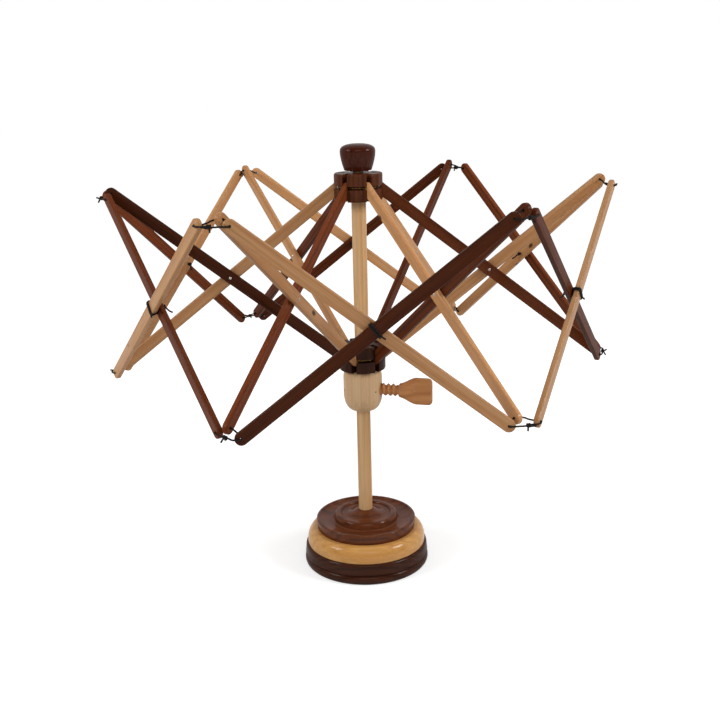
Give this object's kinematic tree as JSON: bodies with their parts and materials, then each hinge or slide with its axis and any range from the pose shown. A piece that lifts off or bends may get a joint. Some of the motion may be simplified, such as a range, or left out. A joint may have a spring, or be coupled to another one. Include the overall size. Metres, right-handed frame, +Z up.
{
  "type": "umbrella swift",
  "caption": "Folding wooden yarn swift: crossed slats open like an umbrella round a post on a turned base, with slotted hubs, a knob and a clamp collar with a thumb screw.",
  "frame": {"origin": "middle of the foot's underside, on the post's axis", "axes": "+Z up along the post, +X towards the first rib, the front of the picture towards -Y"},
  "size_m": [0.6686, 0.5936, 0.5762],
  "materials": {
    "dark_wood": "gloss lacquer",
    "pale_wood": "gloss lacquer",
    "blond_wood": "satin lacquer",
    "screw_wood": "satin lacquer",
    "brass": "polished",
    "cord": "matte"
  },
  "bodies": {
    "base": {"base_foot": "dark_wood", "base_middle": "pale_wood", "base_top": "dark_wood", "post": "pale_wood", "knob": "dark_wood"},
    "upper_hub": {"upper_hub": "dark_wood", "upper_wire": "brass"},
    "top_slat_1": {"top_slat_1": "dark_wood", "rivet_1": "brass"},
    "top_slat_2": {"top_slat_2": "pale_wood", "rivet_2": "brass"},
    "top_slat_3": {"top_slat_3": "dark_wood", "rivet_3": "brass"},
    "top_slat_4": {"top_slat_4": "pale_wood", "rivet_4": "brass"},
    "top_slat_5": {"top_slat_5": "dark_wood", "rivet_5": "brass"},
    "top_slat_6": {"top_slat_6": "pale_wood", "rivet_6": "brass"},
    "low_slat_1": {"low_slat_1": "pale_wood"},
    "low_slat_2": {"low_slat_2": "dark_wood"},
    "low_slat_3": {"low_slat_3": "pale_wood"},
    "low_slat_4": {"low_slat_4": "dark_wood"},
    "low_slat_5": {"low_slat_5": "pale_wood"},
    "low_slat_6": {"low_slat_6": "dark_wood"},
    "low_tie_1": {"low_tie_1": "cord"},
    "low_tie_2": {"low_tie_2": "cord"},
    "low_tie_3": {"low_tie_3": "cord"},
    "low_tie_4": {"low_tie_4": "cord"},
    "low_tie_5": {"low_tie_5": "cord"},
    "low_tie_6": {"low_tie_6": "cord"},
    "high_tie_1": {"high_tie_1": "cord"},
    "high_tie_2": {"high_tie_2": "cord"},
    "high_tie_3": {"high_tie_3": "cord"},
    "high_tie_4": {"high_tie_4": "cord"},
    "high_tie_5": {"high_tie_5": "cord"},
    "high_tie_6": {"high_tie_6": "cord"},
    "outer_slat_1": {"outer_slat_1": "dark_wood", "cross_tie_1": "cord"},
    "outer_slat_2": {"outer_slat_2": "pale_wood", "cross_tie_2": "cord"},
    "outer_slat_3": {"outer_slat_3": "dark_wood", "cross_tie_3": "cord"},
    "outer_slat_4": {"outer_slat_4": "pale_wood", "cross_tie_4": "cord"},
    "outer_slat_5": {"outer_slat_5": "dark_wood", "cross_tie_5": "cord"},
    "outer_slat_6": {"outer_slat_6": "pale_wood", "cross_tie_6": "cord"},
    "inner_slat_1": {"inner_slat_1": "pale_wood"},
    "inner_slat_2": {"inner_slat_2": "dark_wood"},
    "inner_slat_3": {"inner_slat_3": "pale_wood"},
    "inner_slat_4": {"inner_slat_4": "dark_wood"},
    "inner_slat_5": {"inner_slat_5": "pale_wood"},
    "inner_slat_6": {"inner_slat_6": "dark_wood"},
    "lower_hub": {"lower_hub": "dark_wood", "lower_wire": "brass"},
    "collar": {"collar": "blond_wood"},
    "thumb_screw": {"thumb_screw": "screw_wood"}
  },
  "joints": [
    {"name": "spin", "type": "hinge", "parent": "base", "child": "upper_hub", "pos_m": [0, 0, 0.5222], "axis": [0, 0, 1], "continuous": true},
    {"name": "fold", "type": "hinge", "parent": "upper_hub", "child": "top_slat_1", "pos_m": [0.02507, -0.0034, 0.5222], "axis": [0, 1, 0], "range_deg": [-24, 40]},
    {"name": "fold_2", "type": "hinge", "parent": "upper_hub", "child": "top_slat_2", "pos_m": [0.01548, 0.02001, 0.5222], "axis": [-0.866, 0.5, 0], "range_deg": [-24, 40]},
    {"name": "fold_3", "type": "hinge", "parent": "upper_hub", "child": "top_slat_3", "pos_m": [-0.00959, 0.02341, 0.5222], "axis": [-0.866, -0.5, 0], "range_deg": [-24, 40]},
    {"name": "fold_4", "type": "hinge", "parent": "upper_hub", "child": "top_slat_4", "pos_m": [-0.02507, 0.0034, 0.5222], "axis": [0, -1, 0], "range_deg": [-24, 40]},
    {"name": "fold_5", "type": "hinge", "parent": "upper_hub", "child": "top_slat_5", "pos_m": [-0.01548, -0.02001, 0.5222], "axis": [0.866, -0.5, 0], "range_deg": [-24, 40]},
    {"name": "fold_6", "type": "hinge", "parent": "upper_hub", "child": "top_slat_6", "pos_m": [0.00959, -0.02341, 0.5222], "axis": [0.866, 0.5, 0], "range_deg": [-24, 40]},
    {"name": "scissor_1", "type": "hinge", "parent": "top_slat_1", "child": "low_slat_1", "pos_m": [0.16927, 0, 0.40953], "axis": [0, 1, 0], "range_deg": [-80, 48]},
    {"name": "scissor_2", "type": "hinge", "parent": "top_slat_2", "child": "low_slat_2", "pos_m": [0.08464, 0.14659, 0.40953], "axis": [-0.866, 0.5, 0], "range_deg": [-80, 48]},
    {"name": "scissor_3", "type": "hinge", "parent": "top_slat_3", "child": "low_slat_3", "pos_m": [-0.08464, 0.14659, 0.40953], "axis": [-0.866, -0.5, 0], "range_deg": [-80, 48]},
    {"name": "scissor_4", "type": "hinge", "parent": "top_slat_4", "child": "low_slat_4", "pos_m": [-0.16927, 0, 0.40953], "axis": [0, -1, 0], "range_deg": [-80, 48]},
    {"name": "scissor_5", "type": "hinge", "parent": "top_slat_5", "child": "low_slat_5", "pos_m": [-0.08464, -0.14659, 0.40953], "axis": [0.866, -0.5, 0], "range_deg": [-80, 48]},
    {"name": "scissor_6", "type": "hinge", "parent": "top_slat_6", "child": "low_slat_6", "pos_m": [0.08464, -0.14659, 0.40953], "axis": [0.866, 0.5, 0], "range_deg": [-80, 48]},
    {"name": "low_tie_turn_1", "type": "hinge", "parent": "top_slat_1", "child": "low_tie_1", "pos_m": [0.31348, -0.0034, 0.29687], "axis": [0, 1, 0], "range_deg": [-40, 24]},
    {"name": "high_tie_turn_1", "type": "hinge", "parent": "low_slat_1", "child": "high_tie_1", "pos_m": [0.31348, 0.0034, 0.5222], "axis": [0, 1, 0], "range_deg": [-24, 40]},
    {"name": "low_tie_turn_2", "type": "hinge", "parent": "top_slat_2", "child": "low_tie_2", "pos_m": [0.15968, 0.26978, 0.29687], "axis": [-0.866, 0.5, 0], "range_deg": [-40, 24]},
    {"name": "high_tie_turn_2", "type": "hinge", "parent": "low_slat_2", "child": "high_tie_2", "pos_m": [0.15379, 0.27318, 0.5222], "axis": [-0.866, 0.5, 0], "range_deg": [-24, 40]},
    {"name": "low_tie_turn_3", "type": "hinge", "parent": "top_slat_3", "child": "low_tie_3", "pos_m": [-0.15379, 0.27318, 0.29687], "axis": [-0.866, -0.5, 0], "range_deg": [-40, 24]},
    {"name": "high_tie_turn_3", "type": "hinge", "parent": "low_slat_3", "child": "high_tie_3", "pos_m": [-0.15968, 0.26978, 0.5222], "axis": [-0.866, -0.5, 0], "range_deg": [-24, 40]},
    {"name": "low_tie_turn_4", "type": "hinge", "parent": "top_slat_4", "child": "low_tie_4", "pos_m": [-0.31348, 0.0034, 0.29687], "axis": [0, -1, 0], "range_deg": [-40, 24]},
    {"name": "high_tie_turn_4", "type": "hinge", "parent": "low_slat_4", "child": "high_tie_4", "pos_m": [-0.31348, -0.0034, 0.5222], "axis": [0, -1, 0], "range_deg": [-24, 40]},
    {"name": "low_tie_turn_5", "type": "hinge", "parent": "top_slat_5", "child": "low_tie_5", "pos_m": [-0.15968, -0.26978, 0.29687], "axis": [0.866, -0.5, 0], "range_deg": [-40, 24]},
    {"name": "high_tie_turn_5", "type": "hinge", "parent": "low_slat_5", "child": "high_tie_5", "pos_m": [-0.15379, -0.27318, 0.5222], "axis": [0.866, -0.5, 0], "range_deg": [-24, 40]},
    {"name": "low_tie_turn_6", "type": "hinge", "parent": "top_slat_6", "child": "low_tie_6", "pos_m": [0.15379, -0.27318, 0.29687], "axis": [0.866, 0.5, 0], "range_deg": [-40, 24]},
    {"name": "high_tie_turn_6", "type": "hinge", "parent": "low_slat_6", "child": "high_tie_6", "pos_m": [0.15968, -0.26978, 0.5222], "axis": [0.866, 0.5, 0], "range_deg": [-24, 40]},
    {"name": "outer_turn_1", "type": "hinge", "parent": "low_tie_1", "child": "outer_slat_1", "pos_m": [0.32278, 0.01985, 0.29087], "axis": [0.866, 0.5, 0], "range_deg": [-24, 40]},
    {"name": "inner_turn_1", "type": "hinge", "parent": "low_tie_2", "child": "inner_slat_1", "pos_m": [0.17104, 0.26527, 0.29087], "axis": [0.866, 0.5, 0], "range_deg": [-40, 24]},
    {"name": "outer_turn_2", "type": "hinge", "parent": "low_tie_2", "child": "outer_slat_2", "pos_m": [0.14421, 0.28946, 0.29087], "axis": [0, 1, 0], "range_deg": [-24, 40]},
    {"name": "inner_turn_2", "type": "hinge", "parent": "low_tie_3", "child": "inner_slat_2", "pos_m": [-0.14421, 0.28076, 0.29087], "axis": [0, 1, 0], "range_deg": [-40, 24]},
    {"name": "outer_turn_3", "type": "hinge", "parent": "low_tie_3", "child": "outer_slat_3", "pos_m": [-0.17858, 0.26962, 0.29087], "axis": [-0.866, 0.5, 0], "range_deg": [-24, 40]},
    {"name": "inner_turn_3", "type": "hinge", "parent": "low_tie_4", "child": "inner_slat_3", "pos_m": [-0.31525, 0.0155, 0.29087], "axis": [-0.866, 0.5, 0], "range_deg": [-40, 24]},
    {"name": "outer_turn_4", "type": "hinge", "parent": "low_tie_4", "child": "outer_slat_4", "pos_m": [-0.32278, -0.01985, 0.29087], "axis": [-0.866, -0.5, 0], "range_deg": [-24, 40]},
    {"name": "inner_turn_4", "type": "hinge", "parent": "low_tie_5", "child": "inner_slat_4", "pos_m": [-0.17104, -0.26527, 0.29087], "axis": [-0.866, -0.5, 0], "range_deg": [-40, 24]},
    {"name": "outer_turn_5", "type": "hinge", "parent": "low_tie_5", "child": "outer_slat_5", "pos_m": [-0.14421, -0.28946, 0.29087], "axis": [0, -1, 0], "range_deg": [-24, 40]},
    {"name": "inner_turn_5", "type": "hinge", "parent": "low_tie_6", "child": "inner_slat_5", "pos_m": [0.14421, -0.28076, 0.29087], "axis": [0, -1, 0], "range_deg": [-40, 24]},
    {"name": "outer_turn_6", "type": "hinge", "parent": "low_tie_6", "child": "outer_slat_6", "pos_m": [0.17858, -0.26962, 0.29087], "axis": [0.866, -0.5, 0], "range_deg": [-24, 40]},
    {"name": "inner_turn_6", "type": "hinge", "parent": "low_tie_1", "child": "inner_slat_6", "pos_m": [0.31525, -0.0155, 0.29087], "axis": [0.866, -0.5, 0], "range_deg": [-40, 24]},
    {"name": "lower_hub_level", "type": "hinge", "parent": "low_slat_1", "child": "lower_hub", "pos_m": [0.02507, 0.0034, 0.29687], "axis": [0, 1, 0], "range_deg": [-24, 40]},
    {"name": "collar_hold", "type": "hinge", "parent": "lower_hub", "child": "collar", "pos_m": [0, 0, 0.29687], "axis": [0, 0, 1], "continuous": true},
    {"name": "screw_turn", "type": "hinge", "parent": "collar", "child": "thumb_screw", "pos_m": [0, 0, 0.25117], "axis": [0.9511, -0.309, 0], "range_deg": [0, 360]}
  ],
  "couplings": [
    {"joint": "fold_2", "follows": "fold", "ratio": 1},
    {"joint": "fold_3", "follows": "fold", "ratio": 1},
    {"joint": "fold_4", "follows": "fold", "ratio": 1},
    {"joint": "fold_5", "follows": "fold", "ratio": 1},
    {"joint": "fold_6", "follows": "fold", "ratio": 1},
    {"joint": "scissor_1", "follows": "fold", "ratio": -2},
    {"joint": "scissor_2", "follows": "fold", "ratio": -2},
    {"joint": "scissor_3", "follows": "fold", "ratio": -2},
    {"joint": "scissor_4", "follows": "fold", "ratio": -2},
    {"joint": "scissor_5", "follows": "fold", "ratio": -2},
    {"joint": "scissor_6", "follows": "fold", "ratio": -2},
    {"joint": "low_tie_turn_1", "follows": "fold", "ratio": -1},
    {"joint": "high_tie_turn_1", "follows": "fold", "ratio": 1},
    {"joint": "low_tie_turn_2", "follows": "fold", "ratio": -1},
    {"joint": "high_tie_turn_2", "follows": "fold", "ratio": 1},
    {"joint": "low_tie_turn_3", "follows": "fold", "ratio": -1},
    {"joint": "high_tie_turn_3", "follows": "fold", "ratio": 1},
    {"joint": "low_tie_turn_4", "follows": "fold", "ratio": -1},
    {"joint": "high_tie_turn_4", "follows": "fold", "ratio": 1},
    {"joint": "low_tie_turn_5", "follows": "fold", "ratio": -1},
    {"joint": "high_tie_turn_5", "follows": "fold", "ratio": 1},
    {"joint": "low_tie_turn_6", "follows": "fold", "ratio": -1},
    {"joint": "high_tie_turn_6", "follows": "fold", "ratio": 1},
    {"joint": "outer_turn_1", "follows": "fold", "ratio": 1},
    {"joint": "inner_turn_1", "follows": "fold", "ratio": -1},
    {"joint": "outer_turn_2", "follows": "fold", "ratio": 1},
    {"joint": "inner_turn_2", "follows": "fold", "ratio": -1},
    {"joint": "outer_turn_3", "follows": "fold", "ratio": 1},
    {"joint": "inner_turn_3", "follows": "fold", "ratio": -1},
    {"joint": "outer_turn_4", "follows": "fold", "ratio": 1},
    {"joint": "inner_turn_4", "follows": "fold", "ratio": -1},
    {"joint": "outer_turn_5", "follows": "fold", "ratio": 1},
    {"joint": "inner_turn_5", "follows": "fold", "ratio": -1},
    {"joint": "outer_turn_6", "follows": "fold", "ratio": 1},
    {"joint": "inner_turn_6", "follows": "fold", "ratio": -1},
    {"joint": "lower_hub_level", "follows": "fold", "ratio": 1},
    {"joint": "collar_hold", "follows": "spin", "ratio": -1}
  ]
}
